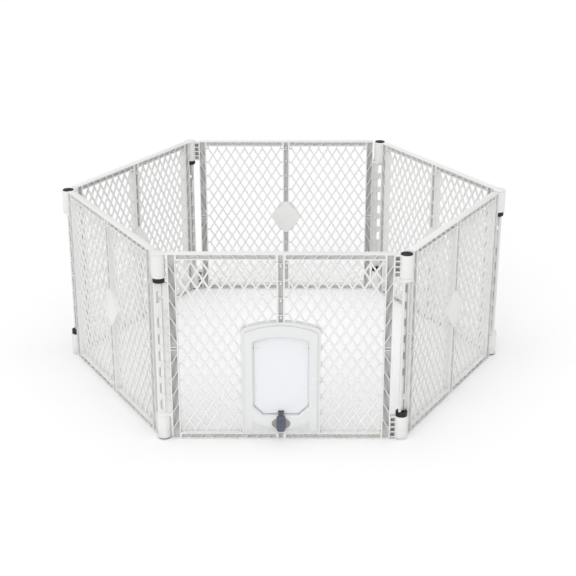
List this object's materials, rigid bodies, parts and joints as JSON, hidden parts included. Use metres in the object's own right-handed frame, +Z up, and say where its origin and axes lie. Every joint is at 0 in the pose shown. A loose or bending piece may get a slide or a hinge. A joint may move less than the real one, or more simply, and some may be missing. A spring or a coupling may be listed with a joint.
{
  "type": "pet playpen",
  "caption": "Free-standing folding pet playpen: a ring of hinged lattice panels, with a swinging flap door and sliding latch in the front panel.",
  "frame": {"origin": "on the floor at the middle of the closed ring", "axes": "+Z up; the door panel is on the -Y side, its outside facing -Y; +X along the door panel"},
  "size_m": [1.635, 1.4312, 0.66],
  "materials": {
    "pen_plastic": "moulded satin",
    "flap_sheet": "translucent",
    "rubber_tip": "matte",
    "latch_plastic": "satin",
    "steel": "plain"
  },
  "bodies": {
    "front_wall": {"front_panel": "pen_plastic", "front_panel_pin_end": "pen_plastic", "front_panel_sleeve_end": "pen_plastic", "front_panel_upper_tip": "rubber_tip", "front_panel_lower_tip": "rubber_tip", "door_surround_outer": "pen_plastic", "door_surround_inner": "pen_plastic", "door_screws": "steel"},
    "right_front_wall": {"right_front_panel": "pen_plastic", "right_front_panel_pin_end": "pen_plastic", "right_front_panel_sleeve_end": "pen_plastic", "right_front_panel_upper_tip": "rubber_tip", "right_front_panel_lower_tip": "rubber_tip"},
    "right_back_wall": {"right_back_panel": "pen_plastic", "right_back_panel_pin_end": "pen_plastic", "right_back_panel_sleeve_end": "pen_plastic", "right_back_panel_upper_tip": "rubber_tip", "right_back_panel_lower_tip": "rubber_tip"},
    "back_wall": {"back_panel": "pen_plastic", "back_panel_pin_end": "pen_plastic", "back_panel_sleeve_end": "pen_plastic", "back_panel_upper_tip": "rubber_tip", "back_panel_lower_tip": "rubber_tip"},
    "left_back_wall": {"left_back_panel": "pen_plastic", "left_back_panel_pin_end": "pen_plastic", "left_back_panel_sleeve_end": "pen_plastic", "left_back_panel_upper_tip": "rubber_tip", "left_back_panel_lower_tip": "rubber_tip"},
    "left_front_wall": {"left_front_panel": "pen_plastic", "left_front_panel_pin_end": "pen_plastic", "left_front_panel_sleeve_end": "pen_plastic", "left_front_panel_upper_tip": "rubber_tip", "left_front_panel_lower_tip": "rubber_tip"},
    "flap": {"door_flap": "flap_sheet", "flap_pivot_pins": "steel"},
    "latch": {"latch_knob_outer": "latch_plastic", "latch_knob_inner": "latch_plastic", "latch_carrier": "latch_plastic", "latch_screw": "steel"}
  },
  "joints": [
    {"name": "front_right_hinge", "type": "hinge", "parent": "front_wall", "child": "right_front_wall", "pos_m": [0.3975, -0.68849, 0], "axis": [0, 0, 1], "range_deg": [-35, 30]},
    {"name": "right_hinge", "type": "hinge", "parent": "right_front_wall", "child": "right_back_wall", "pos_m": [0.795, 0, 0], "axis": [0, 0, 1], "range_deg": [-60, 70]},
    {"name": "back_right_hinge", "type": "hinge", "parent": "right_back_wall", "child": "back_wall", "pos_m": [0.3975, 0.68849, 0], "axis": [0, 0, 1], "range_deg": [-35, 30]},
    {"name": "front_left_hinge", "type": "hinge", "parent": "front_wall", "child": "left_front_wall", "pos_m": [-0.3975, -0.68849, 0], "axis": [0, 0, 1], "range_deg": [-30, 35]},
    {"name": "left_hinge", "type": "hinge", "parent": "left_front_wall", "child": "left_back_wall", "pos_m": [-0.795, 0, 0], "axis": [0, 0, 1], "range_deg": [-70, 60]},
    {"name": "flap_hinge", "type": "hinge", "parent": "front_wall", "child": "flap", "pos_m": [-0.00475, -0.68849, 0.328], "axis": [1, 0, 0], "range_deg": [-80, 80]},
    {"name": "latch_slide", "type": "slide", "parent": "front_wall", "child": "latch", "axis": [0, 0, 1], "range_m": [0, 0.014]}
  ],
  "couplings": [
    {"joint": "right_hinge", "follows": "front_right_hinge", "ratio": -2},
    {"joint": "back_right_hinge", "follows": "front_right_hinge", "ratio": 1},
    {"joint": "front_left_hinge", "follows": "front_right_hinge", "ratio": -1},
    {"joint": "left_hinge", "follows": "front_right_hinge", "ratio": 2}
  ]
}
